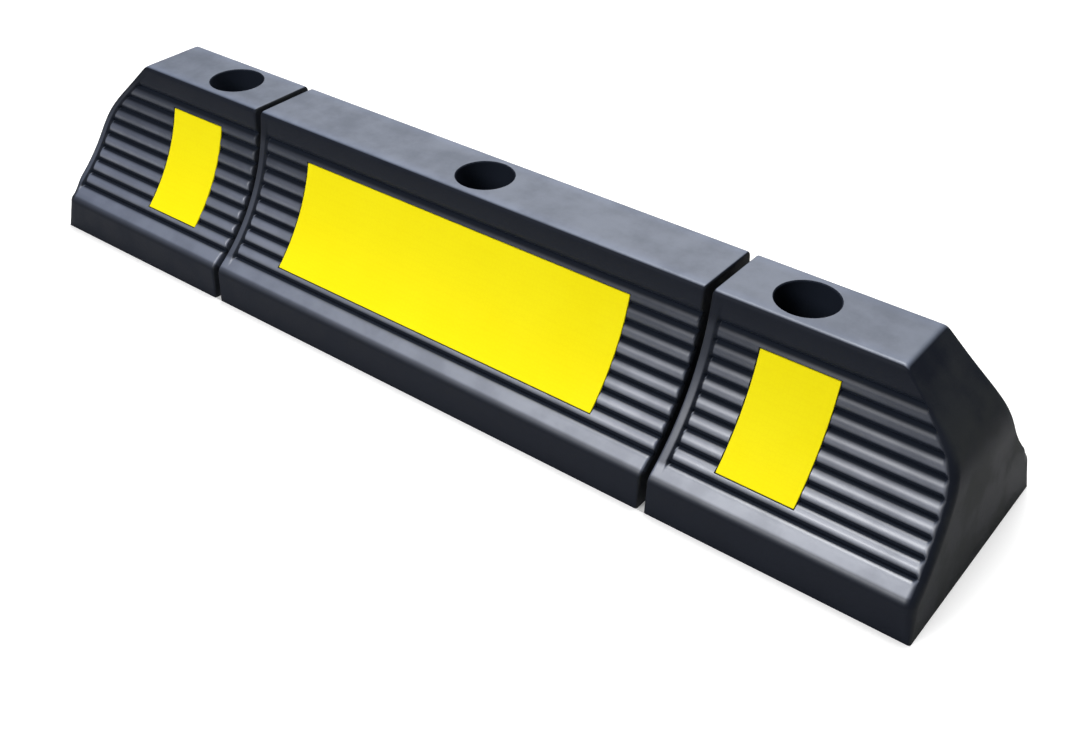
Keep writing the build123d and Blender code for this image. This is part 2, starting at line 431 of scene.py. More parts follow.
def finish_of(maker):
    """The material that a maker fills and names, built the first time it is asked for."""
    material = bpy.data.materials.get(maker.__name__)
    if material:
        return material
    material = bpy.data.materials.new(maker.__name__)
    material.use_nodes = True
    nodes = Nodes(material.node_tree)
    place = nodes.add("ShaderNodeTexCoord")["Object"]
    shader = material.node_tree.nodes["Principled BSDF"]
    nodes.fill(shader, maker(bpy.context.scene.wheel_stop, nodes, place))
    return material


def well_mask(bolts, x, y):
    """Mask of the bolt wells' walls and floors."""
    along = abs(x)
    off_bolt = along.at_most(abs(along - bolts.end_place))
    rim = bolts.well_diameter / 2
    return (off_bolt * off_bolt + y * y).root().fall(rim, rim + bolts.well_edge)


def moulded_rubber(stop, nodes, place):
    """Black rubber: pale bloom with painted sheen on the tops, painted shade in the grooves and
    wells, and crests scuffed, polished and given a painted highlight.
    """
    finish = stop.finish
    grain = {"Vector": place, "Grain Scale": 1400.0, "Mottle Scale": 45.0}
    surface = nodes.group(surface_grain, grain)
    mottle = surface["Mottle"]
    upward_mask = nodes.group(upward_patches, {
        "Vector": place, "Start": 0.75, "Full": 0.98, "Patch Scale": 45.0, "Patchiness": 0.25,
    })["Mask"]
    x, y, z = place.split()
    groove, worn = (
        nodes.add("ShaderNodeAttribute", attribute_name=name)["Fac"] for name in ("groove", "worn")
    )
    well = well_mask(stop.bolts, x, y)
    # Bloom with painted sheen on what faces up, away from the worn places
    bloom = upward_mask * (1.0 - worn)

    # Scuffs and their painted highlight end inside the grooves, thin out up the face and all but
    # stop at the shoulder
    crest = groove.fall(0.0, SCUFF_HIGHLIGHT_DEPTH) * worn
    crest *= z.fall(*SCUFF_HIGHLIGHT_FACE, SCUFF_HIGHLIGHT_HIGH)
    crest *= z.fall(*SCUFF_HIGHLIGHT_END, SCUFF_HIGHLIGHT_SHOULDER)
    crest *= mottle.between(1.0, SCUFF_HIGHLIGHT_MOTTLE)

    # Mottled rubber, with dust on the faces that look to an end
    faint, faint_bloom = mottle * 0.12, finish.bloom * 0.25
    plain = faint.blend(finish.rubber, faint_bloom)
    dusty = abs(nodes.normal()["X"]).ramp(*END_FACING) * mottle
    plain = dusty.blend(plain, finish.dust)

    # Bloom with painted sheen on the tops, and a painted highlight paler towards their long edges
    edge_highlight, edge_highlight_colour = abs(y).ramp(*EDGE_HIGHLIGHT_SPAN, high=EDGE_HIGHLIGHT_SHARE), finish.crest * 1.6
    pale = edge_highlight.blend(finish.bloom, edge_highlight_colour)
    # Scuffs with a painted highlight on the crests, over the rubber with its bloom and painted
    # sheen
    scuffed_and_lit = crest.blend(bloom.blend(plain, pale), finish.crest)
    # Painted shade in the grooves and the bolt wells
    dark = groove.ramp(*RECESS_SHADE_DEPTH).at_least(well)
    return {
        "Base Color": dark.blend(scuffed_and_lit, finish.grime),
        "Roughness": mottle.between(0.45, 0.6).at_least(well),
        "Specular IOR Level": 0.06,
        "Coat Weight": (bloom * finish.bloom_sheen).at_least(crest * finish.crest_sheen),
        "Coat Roughness": 0.45,
        "Coat IOR": 2.9,
        "Normal": nodes.bump(surface["Height"], strength=0.35, distance=0.0002),
    }


def yellow_sheet(stop, nodes, place):
    """Yellow reflective sheet: fine sealed cells under a smooth clear face."""
    cells = nodes.add(
        "ShaderNodeTexVoronoi",
        {"Vector": place, "Scale": 420.0, "Randomness": 0.35},
        feature="DISTANCE_TO_EDGE",
    )["Distance"]
    grain = {"Vector": place, "Grain Scale": 700.0, "Mottle Scale": 22.0}
    surface = nodes.group(surface_grain, grain)
    mottled, walls = surface["Mottle"] * 0.25, cells.fall(*CELL_WALL) * 0.2
    return {
        "Base Color": (mottled + walls).blend(stop.finish.sheet, stop.finish.sheet_cell),
        "Roughness": surface["Mottle"].between(0.60, 0.74),
        "Specular IOR Level": 0.1,
        "Normal": nodes.bump(cells, strength=0.03, distance=0.0004),
    }


def zinc_plate(stop, nodes, place):
    """Dull zinc plating with a fine grain and some dust."""
    finish = stop.finish
    grain = {"Vector": place, "Grain Scale": 1800.0, "Mottle Scale": 260.0}
    surface = nodes.group(surface_grain, grain)
    upward_mask = nodes.group(upward_patches, {
        "Vector": place, "Start": 0.7, "Full": 1.0, "Patch Scale": 180.0, "Patchiness": 0.8,
    })["Mask"]
    metal = surface["Mottle"].blend(finish.zinc, finish.zinc_dull)
    dust = upward_mask * 0.5
    return {
        "Base Color": dust.blend(metal, finish.bloom),
        "Metallic": 1.0,
        "Roughness": surface["Mottle"].between(0.35, 0.55),
        "Normal": nodes.bump(surface["Height"], strength=0.2, distance=0.0001),
    }


def studio_floor(stop, nodes, place):
    """Pale floor that the camera sees brighter beside the stop, up to plain white far away."""
    x, y, _ = place.split()
    body = stop.body
    outside = (abs(x) > body.overall_length / 2).at_least(abs(y) > body.overall_width / 2)
    seen = nodes.add("ShaderNodeLightPath")["Is Camera Ray"] * outside
    away = nodes.add("ShaderNodeVectorMath", {0: place}, operation="LENGTH")["Value"]
    strength = seen * away.ramp(*GLOW_REACH, low=GLOW_NEAR)
    glow = nodes.add("ShaderNodeEmission", {"Strength": strength})
    own = nodes.tree.nodes
    plain = Outputs(nodes, own["Principled BSDF"])
    lit = nodes.add("ShaderNodeAddShader", {0: plain[0], 1: glow[0]})
    nodes.fill(own["Material Output"], {"Surface": lit[0]})
    return {"Base Color": rgba(stop.finish.floor), "Roughness": 0.9, "Specular IOR Level": 0.0}


# Shape of the modules

# Rows up the cross-section
PLINTH_ROWS = (0.55, 0.8)  # parts of the way up the plinth's front
NOSE_ROWS = 9
LEDGE_ROWS = 4
RIB_STEPS = 6  # from a crest to the bottom of a groove
SHOULDER_ROWS = (0.35, 0.7)  # parts of the way up the shoulder
TOP_EDGE_ROWS = 8
RUN_DIGITS = 7  # to which runs are rounded, so that rows don't double
WALL_STEP = 0.00006  # from the middle of a seat's steep wall to its edges

# Columns along a module
EDGE_COLUMNS = (0.0, 0.0026, 0.0036)  # distances from a module's edge
FADE_COLUMNS = (0.0, 0.25, 0.5, 0.75, 1.0, 1.5)  # parts of the border's fade
CORNER_COLUMNS = 8
ACROSS = 13  # points across the top, the base and an outer end

# Where the moulding and its marks begin and end
RUN_OUT = (0.6, 1.2)  # parts of an end's corner
GROOVE_SHADE_FADE, BORDER_FADE, RIB_FADE = 0.25, 0.6, 0.5  # parts of the border's fade
LEDGE_FADE = 0.4  # part of the ledge


def polar(angle):
    return Vector((cos(angle), sin(angle)))


def smooth_step(value, start, stop):
    part = min(max((value - start) / (stop - start), 0.0), 1.0)
    return part * part * (3 - 2 * part)


def across(first, last):
    """Evenly spaced places between two ends."""
    return np.linspace(first, last, ACROSS)[1:-1]


class Row(NamedTuple):
    """Point of the cross-section. A line of the mesh runs through it along the module."""

    place: Vector
    normal: Vector
    inset: float  # of the first ring inside a cap
    corners: Vector  # roundings at an outer end, where the ribs run out and beside the border
    run: float = -FAR  # up the hollow face
    weight: float = 0.0  # of the ribs


class Section:
    """Half of the modules' cross-section: Y out of the face, Z up."""

    inset = 0.0056  # less than the plinth's nose radius
    top_inset = 0.0028  # less than the top edge's radius

    def __init__(self, stop):
        body, ribs, panels = stop.body, stop.ribs, stop.panels
        self.body = body
        self.height = body.overall_height
        self.half_width = body.overall_width / 2
        self.lean = body.shoulder_angle
        self.top_corner = Vector((body.top_width / 2, self.height))
        drop = body.shoulder_drop
        self.shoulder_foot = Vector((self.top_corner.x + drop * tan(self.lean), self.height - drop))
        self.plinth_edge = Vector((self.half_width - body.plinth_draft, body.plinth_height))
        self.shoulder = polar(self.lean)
        chord = self.plinth_edge - self.shoulder_foot
        self.radius = chord.length_squared / (2 * chord.dot(self.shoulder))
        self.centre = self.shoulder_foot + self.shoulder * self.radius
        to_plinth = self.plinth_edge - self.centre
        self.start_angle = atan2(to_plinth.y, to_plinth.x)
        self.face_run = self.radius * (self.start_angle - self.lean + pi)
        self.pitch = (self.face_run - ribs.ledge_width) / (ribs.groove_count - 0.5)
        self.ledge_crest = ribs.ledge_width - self.pitch / 2
        depth = ribs.groove_depth
        self.rib_radius = (self.pitch**2 / 4 + depth**2) / (2 * depth)
        self.panel_low = ribs.ledge_width + self.pitch / 2
        self.panel_high = ribs.ledge_width + (ribs.groove_count - 1.5) * self.pitch
        self.panel_face = ribs.border_relief + panels.sink
        self.panel_back = self.panel_face + panels.thickness
        self.recess = (self.panel_low - panels.clearance, self.panel_high + panels.clearance)

    def on_face(self, run):
        """Point and outward normal at a run up the hollow face."""
        ray = polar(self.start_angle - run / self.radius)
        return self.centre + ray * self.radius, -ray

    def nose_centre(self, base, up_plinth, inward):
        """Centre of the round that joins the plinth's front to the hollow face."""
        radius = self.body.plinth_nose_radius
        start = base + inward * radius - self.centre
        along = start.dot(up_plinth)
        reach = start.length_squared - (self.radius + radius) ** 2
        return self.centre + start + up_plinth * (-along - sqrt(along**2 - reach))

    def face_runs(self, first):
        """Runs at which the ribs are sampled, close together where they bend."""
        half_arc = asin(self.pitch / 2 / self.rib_radius)
        steps = [self.rib_radius * sin(i * half_arc / RIB_STEPS) for i in range(RIB_STEPS + 1)]
        runs = list(np.linspace(first, self.ledge_crest, LEDGE_ROWS))
        crest = self.ledge_crest
        while crest < self.face_run + self.pitch / 4:
            runs += [crest + side * step for step in steps for side in (-1, 1)]
            crest += self.pitch
        runs += [edge + side * WALL_STEP for edge in self.recess for side in (-1, 1)]
        last = self.face_run + WALL_STEP
        kept = []
        for run in sorted({round(run, RUN_DIGITS) for run in runs}):
            if first <= run <= last and (not kept or run - kept[-1] > WALL_STEP / 2):
                kept.append(run)
        return kept

    def rows(self):
        """Rows from the base to the flat top."""
        body = self.body
        edges = Vector((body.end_edge, body.end_edge))
        low_corners = Vector((body.plinth_corner, body.border_corner))
        face_corners = Vector((body.end_corner, body.end_edge))

        base = Vector((self.half_width, 0.0))
        up_plinth = (self.plinth_edge - base).normalized()
        inward = Vector((-up_plinth.y, up_plinth.x))
        nose = self.nose_centre(base, up_plinth, inward)
        nose_radius = body.plinth_nose_radius
        nose_start = nose - inward * nose_radius
        rows = [Row(base, Vector((1, 0)), self.inset, edges)]
        for part in PLINTH_ROWS:
            point, corners = base.lerp(nose_start, part), edges.lerp(low_corners, part)
            rows.append(Row(point, -inward, self.inset, corners))
        to_face = (self.centre - nose).normalized()
        first_angle, last_angle = (atan2(v.y, v.x) for v in (-inward, to_face))
        for angle in np.linspace(first_angle, last_angle, NOSE_ROWS)[:-1]:
            normal = polar(angle)
            run = nose_radius * (angle - last_angle)
            rows.append(Row(nose + normal * nose_radius, normal, self.inset, low_corners, run))

        first_run = (self.start_angle - atan2(-to_face.y, -to_face.x)) * self.radius
        for run in self.face_runs(first_run):
            point, normal = self.on_face(run)
            weight = smooth_step(run, first_run, self.ledge_crest)
            narrow = smooth_step(run, self.face_run - 2 * self.pitch, self.face_run)
            inset = self.inset + narrow * (self.top_inset - self.inset)
            corners = low_corners.lerp(face_corners, smooth_step(run, first_run, self.panel_low))
            rows.append(Row(point, normal, inset, corners.lerp(edges, narrow), run, weight))

        edge_radius = body.top_edge_radius
        tangent = edge_radius * tan((pi / 2 - self.lean) / 2)
        edge_centre = Vector((self.top_corner.x - tangent, self.height - edge_radius))
        shoulder_end = edge_centre + self.shoulder * edge_radius
        for part in SHOULDER_ROWS:
            point = self.shoulder_foot.lerp(shoulder_end, part)
            rows.append(Row(point, self.shoulder, self.top_inset, edges, self.face_run, 1.0 - part))
        for angle in np.linspace(self.lean, pi / 2, TOP_EDGE_ROWS):
            normal = polar(angle)
            point = edge_centre + normal * edge_radius
            rows.append(Row(point, normal, self.top_inset, edges, self.face_run))
        return rows


def module_columns(stop, span, panel, outer_end):
    """Columns along a module: x, and distances from the front and rear border and an outer end."""
    ribs, end_corner = stop.ribs, stop.body.end_corner
    edges = [*EDGE_COLUMNS, *(ribs.border_width + ribs.border_fade * part for part in FADE_COLUMNS)]
    columns = [(span[0] + step, step, FAR, -FAR) for step in edges]
    half = panel[1] / 2 + stop.panels.clearance
    for side in (-1, 1):
        edge = panel[0] + side * half
        columns += [(edge + step, FAR, FAR, -FAR) for step in (-WALL_STEP, WALL_STEP)]
    if outer_end:
        turn = [end_corner * (1 - cos(angle)) for angle in np.linspace(0, pi / 2, CORNER_COLUMNS)]
        edges = [*turn, *(step for step in edges if step > end_corner)]
    columns += [(span[1] - step, FAR, step, step if outer_end else -FAR) for step in edges]
    return sorted(columns)


def bridge(mesh, rings):
    """Adds a closed strip of faces from each ring of vertices to the next."""
    for first, second in zip(rings, rings[1:]):
        for j in range(len(first)):
            k = (j + 1) % len(first)
            mesh.faces.new((first[j], first[k], second[k], second[j]))


def turned_out(mesh, data):
    """Writes a working mesh to its data, with the faces turned outwards."""
    bmesh.ops.recalc_face_normals(mesh, faces=mesh.faces)
    mesh.to_mesh(data)
    mesh.free()
    return data


def module_blank(name, stop, columns):
    """Plain block with the modules' cross-section, in rings along X, ready for its ribs."""
    section = Section(stop)
    rows = section.rows()
    count = len(rows)
    top_half, half_width, edge = rows[-1].place.x, section.half_width, stop.body.end_edge
    top = [
        Row(Vector((y, section.height)), Vector((0, 1)), section.top_inset, (edge, edge))
        for y in across(-top_half, top_half)
    ]
    base = [
        Row(Vector((y, 0)), Vector((0, -1)), section.inset, (0.0, 0.0))
        for y in across(half_width, -half_width)
    ]
    # Up the front, over the top, down the rear and back under the base
    loop = [(-1, row) for row in rows] + [(1, row) for row in (*top, *reversed(rows), *base)]
    skin = len(loop) - len(base)

    mesh = bmesh.new()
    keys = ("run", "weight", "border", "end_offset", "corner")
    layers = [mesh.verts.layers.float.new(key) for key in keys]
    outward = mesh.verts.layers.float_vector.new("outward")
    bevel_weight = mesh.edges.layers.float.new("bevel_weight_edge")

    def vertex(place, end_offset, run=-FAR, border=FAR, weight=0.0, corner=0.0):
        vert = mesh.verts.new(place)
        values = (run, weight, border, end_offset, corner)
        for layer, value in zip(layers, values):
            vert[layer] = value
        return vert

    rings = []
    for x, *borders, end_offset in columns:
        ring = []
        for side, row in loop:
            ring.append(vertex(
                (x, side * row.place.x, row.place.y), end_offset,
                row.run, borders[side > 0], row.weight, row.corners[side > 0],
            ))
            ring[-1][outward] = (0, side * row.normal.x, row.normal.y)
        rings.append(ring)
    bridge(mesh, rings)

    for ring, (x, *_, end_offset) in ((rings[0], columns[0]), (rings[-1], columns[-1])):
        inner = []
        for j, (side, row) in enumerate(loop):
            place = row.place - row.normal * row.inset
            if j in (0, skin - 1):
                place = row.place + Vector((-section.inset, section.inset))
            inner.append(vertex((x, side * place.x, place.y), end_offset))
        bridge(mesh, (ring, inner))
        if end_offset < 0:
            for pair in zip(ring, ring[1:skin]):
                mesh.edges.get(pair)[bevel_weight] = 1.0
            mesh.faces.new(inner)
            continue
        # An outer end bends, so it is filled with a grid
        lines = [[inner[0], *reversed(inner[skin:]), inner[skin - 1]]]
        for i in range(1, count - 1):
            first, last = inner[i], inner[skin - 1 - i]
            places = [first.co.lerp(last.co, part) for part in across(0, 1)]
            lines.append([first, *(vertex(place, end_offset) for place in places), last])
        lines.append(inner[count - 1 : skin - count + 1])
        for low, high in zip(lines, lines[1:]):
            for j in range(ACROSS - 1):
                mesh.faces.new((low[j], low[j + 1], high[j + 1], high[j]))
    return turned_out(mesh, bpy.data.meshes.new(name))


def moulded_module(nodes, given):
    """Moulds a blank: ribs, borders, panel seats and the shape of an outer end."""

    def attribute(name, data_type="FLOAT"):
        return nodes.geometry("InputNamedAttribute", {"Name": name}, data_type=data_type)

    run, weight, end_offset, corner, from_edge = (
        attribute(name) for name in ("run", "weight", "end_offset", "corner", "border")
    )
    x, y, z = nodes.position()
    ledge, pitch, radius = given.pick("Ledge", "Pitch", "Rib Radius")
    border, fade = given.pick("Border", "Fade")
    at_end = end_offset > -FAR / 2

    # Round ribs
    def below_crest(off_crest):
        return radius - (radius * radius - off_crest * off_crest).root()

    kept = run.at_least(given["Ledge Crest"]).at_most(given["Face Run"])
    arc = below_crest((((kept - ledge) / pitch).fraction() - 0.5) * pitch)
    groove_depth = below_crest(pitch * 0.5)

    # They stop at the border, and run out before an outer end's corner
    past_border = border + fade
    run_out = end_offset.ramp(corner * RUN_OUT[0], corner * RUN_OUT[1]).at_least(1.0 - at_end)
    moulding = run_out * weight
    ribs = from_edge.ramp(border, past_border) * moulding * (arc + given["Relief"])
    inside = (corner - end_offset).at_least(0.0)
    rounding = corner - (corner * corner - inside * inside).at_least(0.0).root()

    # Seat of the panel
    seat = abs(x - given["Recess Centre"]) < given["Recess Half"]
    seat = seat * (run > given["Recess Low"]) * (run < given["Recess High"])
    open_face = 1.0 - seat
    depth = seat * given["Recess Depth"] + open_face * ribs + at_end * rounding

    # Marks for the finish: painted shade in the grooves, and wear with a painted highlight on the
    # crests, the ledge and, fainter, the border
    shaded_grooves = from_edge.ramp(border, fade * GROOVE_SHADE_FADE + border) * moulding
    groove = arc * shaded_grooves * open_face / groove_depth
    on_border = from_edge.ramp(border - fade * BORDER_FADE, border, given["Border Wear"], 0.0)
    on_ribs = from_edge.ramp(past_border, fade * RIB_FADE + past_border)
    on_ledge = run.ramp(-given["Worn Nose"], ledge * LEDGE_FADE)
    on_ledge *= run.fall(given["Ledge Crest"], ledge)
    # Wear, with its painted highlight, on the ribs, the border and the ledge
    worn = (weight * (on_border + on_ribs)).at_least(on_ledge) * (run_out * open_face)

    shape = given["Geometry"]
    for name, mark in (("groove", groove), ("worn", worn)):
        inputs = {"Geometry": shape, "Name": name, "Value": mark}
        shape = nodes.geometry("StoreNamedAttribute", inputs, data_type="FLOAT", domain="POINT")
    inwards = {0: attribute("outward", "FLOAT_VECTOR"), "Scale": -depth}
    offset = nodes.add("ShaderNodeVectorMath", inwards, operation="SCALE")[0]
    shape = nodes.geometry("SetPosition", {"Geometry": shape, "Offset": offset})

    # Outer end: a slope that bends into a wall
    slope = (given["Top Height"] - z) * given["Bevel Slope"] + given["Top End"]
    wall = given["End Foot"] - z * given["End Slope"]
    end = slope.smooth_min(wall, given["Bevel Round"])
    moved = nodes.join(end - end_offset, y, z)
    trimmed = {"Geometry": shape, "Selection": at_end, "Position": moved}
    return nodes.finished(nodes.geometry("SetPosition", trimmed), given)


def module_inputs(stop, panel):
    """Values for the inputs of a module's tree."""
    section, body, ribs = Section(stop), stop.body, stop.ribs
    end_wall = body.overall_length / 2 - body.end_draft
    return {
        "Worn Nose": ribs.worn_nose,
        "Ledge Crest": section.ledge_crest,
        "Ledge": ribs.ledge_width,
        "Face Run": section.face_run,
        "Pitch": section.pitch,
        "Rib Radius": section.rib_radius,
        "Relief": ribs.border_relief,
        "Border": ribs.border_width,
        "Border Wear": ribs.border_wear,
        "Fade": ribs.border_fade,
        "Recess Centre": panel[0],
        "Recess Half": panel[1] / 2 + stop.panels.clearance,
        "Recess Low": section.recess[0],
        "Recess High": section.recess[1],
        "Recess Depth": section.panel_back,
        "Top End": body.top_length / 2,
        "Top Height": body.overall_height,
        "Bevel Slope": (end_wall - body.top_length / 2) / body.bevel_drop,
        "Bevel Round": body.bevel_round,
        "End Foot": body.overall_length / 2,
        "End Slope": body.end_draft / (body.overall_height - body.bevel_drop),
        "Finish": finish_of(moulded_rubber),
    }


# Cutters for the wells, the cells and the dovetail joints

CIRCLE_POINTS = 72
CELL_ARC_POINTS = 10
TONGUE_ARC_POINTS = 6


def sweep(mesh, rings):
    """Adds the solid between the first and the last of some rings of points."""
    rings = [[mesh.verts.new(point) for point in ring] for ring in rings]
    bridge(mesh, rings)
    for cap in (rings[0], rings[-1]):
        mesh.faces.new(cap)


def arc_points(centre, radius, start, stop, count):
    angles = np.linspace(start, stop, count)
    return [(centre[0] + radius * cos(angle), centre[1] + radius * sin(angle)) for angle in angles]


def add_well(mesh, x, stop):
    """Bolt well with a broken edge at its mouth, and the bolt hole below it."""
    bolts, height = stop.bolts, stop.body.overall_height
    hole, well, edge = bolts.hole_diameter / 2, bolts.well_diameter / 2, bolts.well_edge
    floor = height - bolts.well_depth
    mouth = [(well, height - edge), (well + 2 * edge, height + edge)]
    angles = [2 * pi * i / CIRCLE_POINTS for i in range(CIRCLE_POINTS)]
    sweep(mesh, [
        [(x + radius * cos(angle), radius * sin(angle), z) for angle in angles]
        for radius, z in [(hole, -edge), (hole, floor), (well, floor), *mouth]
    ])


def add_cells(mesh, start, end, stop):
    """Pair of cored cells between two places along the stop."""
    under, section = stop.underside, Section(stop)
    radius = section.radius + under.wall
    side = section.half_width - under.wall
    web = under.cell_web / 2
    cx, cy = section.centre
    low_angle = atan2(-sqrt(radius**2 - (cx - side) ** 2), side - cx)
    high_angle = atan2(under.cell_height - cy, -sqrt(radius**2 - (cy - under.cell_height) ** 2))
    high_angle -= 2 * pi if high_angle > 0 else 0
    curve = arc_points(section.centre, radius, low_angle, high_angle, CELL_ARC_POINTS)
    outline = [(web, under.cell_height), (web, -web), (side, -web), *curve]
    for turn in (-1, 1):
        sweep(mesh, [[(x, turn * y, z) for y, z in outline] for x in (start, end)])


def tongue_outline(stop, grow):
    """Plan of the right-hand dovetail tongue, grown all round by a clearance."""
    under, body = stop.underside, stop.body
    root_x = body.centre_length / 2 + body.module_gap
    tip_x = root_x - under.tongue_reach - grow
    back_x = root_x + 2 * body.gap_edge
    rate = (under.tongue_tip - under.tongue_root) / 2 / under.tongue_reach
    spread = grow * sqrt(1 + rate**2)
    root = under.tongue_root / 2 + spread
    tip = root + rate * (root_x - tip_x)
    radius = under.tongue_radius + grow
    slant = atan2(1, -rate)
    centre = (tip_x + radius, tip - radius * tan((pi - slant) / 2))
    corner = arc_points(centre, radius, slant, pi, TONGUE_ARC_POINTS)
    half = [(back_x, root), (root_x, root), *corner]
    return half + [(x, -y) for x, y in reversed(half)]


def add_tongue(mesh, stop, grow=0.0, turn=1):
    """Dovetail tongue, or its socket when it is grown and starts below the base."""
    outline = tongue_outline(stop, grow)
    low, high = -grow, stop.underside.tongue_height + grow
    sweep(mesh, [[(turn * x, turn * y, z) for x, y in outline] for z in (low, high)])


# Pieces

# Edges sharper than these angles stay sharp
RUBBER_SMOOTH, PANEL_SMOOTH, WASHER_SMOOTH = radians(38), radians(20), radians(40)
PANEL_EDGE_ANGLE = radians(60)  # edges sharper than this are rounded
GAP_EDGE_STEPS, PANEL_EDGE_STEPS, WASHER_EDGE_STEPS = 4, 2, 3
PANEL_GRID = (13, 33)
BOLT_COUNT = 3  # one in each module
MERGE_DISTANCE = 1e-6


def link(name, data):
    made = bpy.data.objects.new(name, data)
    bpy.context.scene.collection.objects.link(made)
    return made


def shape_by(obj, maker, values):
    """Adds a Geometry Nodes modifier and sets its inputs by their identifiers."""
    blank = ["Geometry"] if obj.data.vertices else []
    tree = shared_tree("GeometryNodeTree", maker, [*blank, *values])
    modifier = obj.modifiers.new(tree.name, "NODES")
    modifier.node_group = tree
    for socket in tree.interface.items_tree:
        if socket.in_out == "INPUT" and socket.name in values:
            modifier[socket.identifier] = values[socket.name]


def bevel(obj, width, segments, **settings):
    modifier = obj.modifiers.new("edges", "BEVEL")
    for name, value in {"width": width, "segments": segments, **settings}.items():
        setattr(modifier, name, value)


def apply_modifiers(obj):
    """Makes what the modifiers give the object's own mesh."""
    depsgraph = bpy.context.evaluated_depsgraph_get()
    before = obj.data
    obj.data = bpy.data.meshes.new_from_object(
        obj.evaluated_get(depsgraph), preserve_all_data_layers=True, depsgraph=depsgraph
    )
    obj.modifiers.clear()
    bpy.data.meshes.remove(before)


def keep_one_slot(data):
    """Drops the empty slots that node geometry brings along."""
    used = data.materials[data.polygons[0].material_index]
    data.materials.clear()
    data.materials.append(used)
    data.polygons.foreach_set("material_index", [0] * len(data.polygons))


def plain_mesh(obj, smooth_angle):
    """Turns what the modifiers give into a plain mesh, smooth up to an angle."""
    apply_modifiers(obj)
    mesh = bmesh.new()
    mesh.from_mesh(obj.data)
    turned_out(mesh, obj.data)
    obj.data.shade_smooth()
    obj.data.set_sharp_from_angle(angle=smooth_angle)
    obj.modifiers.new("normals", "WEIGHTED_NORMAL").keep_sharp = True
    apply_modifiers(obj)
    keep_one_slot(obj.data)
    obj.data.name = obj.name


def dress(obj, node):
    """The piece stands for a CAD node and rides with the stop."""
    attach(obj, "root")
    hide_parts(node)


def mould(name, stop, span, panel, cutters, tongue=None):
    """Module over a span of the stop, with its ribs, rounded edges, wells and cells.

    An end module also has a tongue and an outer end. A panel is given by its place and its length.
    """
    columns = module_columns(stop, span, panel, outer_end=tongue is not None)
    made = link(name, module_blank(name, stop, columns))
    shape_by(made, moulded_module, module_inputs(stop, panel))
    bevel(
        made, stop.body.gap_edge, GAP_EDGE_STEPS,
        offset_type="ABSOLUTE", limit_method="WEIGHT", use_clamp_overlap=False,
    )
    tools = []
    for action, mesh in (("UNION", tongue), ("DIFFERENCE", cutters)):
        if mesh:
            tools.append(turned_out(mesh, bpy.data.meshes.new(action.lower())))
            cut = made.modifiers.new(action.lower(), "BOOLEAN")
            cut.operation, cut.object, cut.solver = action, link(action.lower(), tools[-1]), "EXACT"
    plain_mesh(made, RUBBER_SMOOTH)
    for tool in tools:
        bpy.data.meshes.remove(tool)
    return made


class WHEELSTOP_OT_centre_module(bpy.types.Operator):
    """Make the centre module"""

    bl_idname = "wheelstop.centre_module"
    bl_label = "Centre module"

    def execute(self, context):
        stop = context.scene.wheel_stop
        body, under = stop.body, stop.underside
        half = body.centre_length / 2
        cutters = bmesh.new()
        add_well(cutters, 0.0, stop)
        start = under.bolt_block / 2
        last = half + body.module_gap - under.tongue_reach - under.tongue_clearance - under.cell_web
        pitch = (last - start + under.cell_web) / under.cell_count
        for index in range(under.cell_count):
            low = start + index * pitch
            high = low + pitch - under.cell_web
            add_cells(cutters, low, high, stop)
            add_cells(cutters, -high, -low, stop)
        for turn in (1, -1):
            add_tongue(cutters, stop, under.tongue_clearance, turn)
        panel = (0.0, stop.panels.centre_length)
        made = mould("centre_rubber", stop, (-half, half), panel, cutters)
        dress(made, "centre_module")
        return {"FINISHED"}


class WHEELSTOP_OT_end_modules(bpy.types.Operator):
    """Make both end modules from one moulding"""

    bl_idname = "wheelstop.end_modules"
    bl_label = "End modules"

    def execute(self, context):
        stop = context.scene.wheel_stop
        body, under, panels, bolt = stop.body, stop.underside, stop.panels, stop.bolts.end_place
        cutters, tongue = bmesh.new(), bmesh.new()
        add_well(cutters, bolt, stop)
        end_wall = body.overall_length / 2 - body.end_draft
        add_cells(cutters, bolt + under.bolt_block / 2, end_wall - under.wall, stop)
        add_tongue(tongue, stop)
        span = (body.centre_length / 2 + body.module_gap, body.overall_length / 2)
        panel = (panels.end_place, panels.end_length)
        right = mould("right_end_rubber", stop, span, panel, cutters, tongue)
        turned = right.data.copy()
        turned.transform(Matrix.Rotation(pi, 4, "Z"))
        left = link("left_end_rubber", turned)
        dress(right, "right_end_module")
        dress(left, "left_end_module")
        return {"FINISHED"}


def curved_panel(nodes, given):
    """Curves a sheet to the hollow face and gives it its thickness."""
    low, high, side, face_radius = given.pick("Low", "High", "Side", "Face Radius")
    grid = dict(zip(("Vertices X", "Vertices Y"), PANEL_GRID))
    sheet = nodes.geometry("MeshGrid", {"Size X": given["Length"], "Size Y": high - low, **grid})
    x, y, _ = nodes.position()
    angle = given["Start Angle"] - (y + (high + low) * 0.5) / face_radius
    radius = face_radius + given["Depth"]
    out = angle.cosine() * radius + given["Face Y"]
    up = angle.sine() * radius + given["Face Z"]
    curved = nodes.join(x + given["Centre"], out * side, up)
    face = nodes.geometry("SetPosition", {"Geometry": sheet, "Position": curved})
    inwards = {"Mesh": face, "Offset Scale": given["Thickness"] * side, "Individual": False}
    back = nodes.geometry("FlipFaces", {"Mesh": nodes.geometry("ExtrudeMesh", inwards)})
    both = nodes.add("GeometryNodeJoinGeometry", {0: face})
    nodes.fill(both.node, {0: back})
    closed = nodes.geometry("MergeByDistance", {"Geometry": both[0], "Distance": MERGE_DISTANCE})
    return nodes.finished(closed, given)


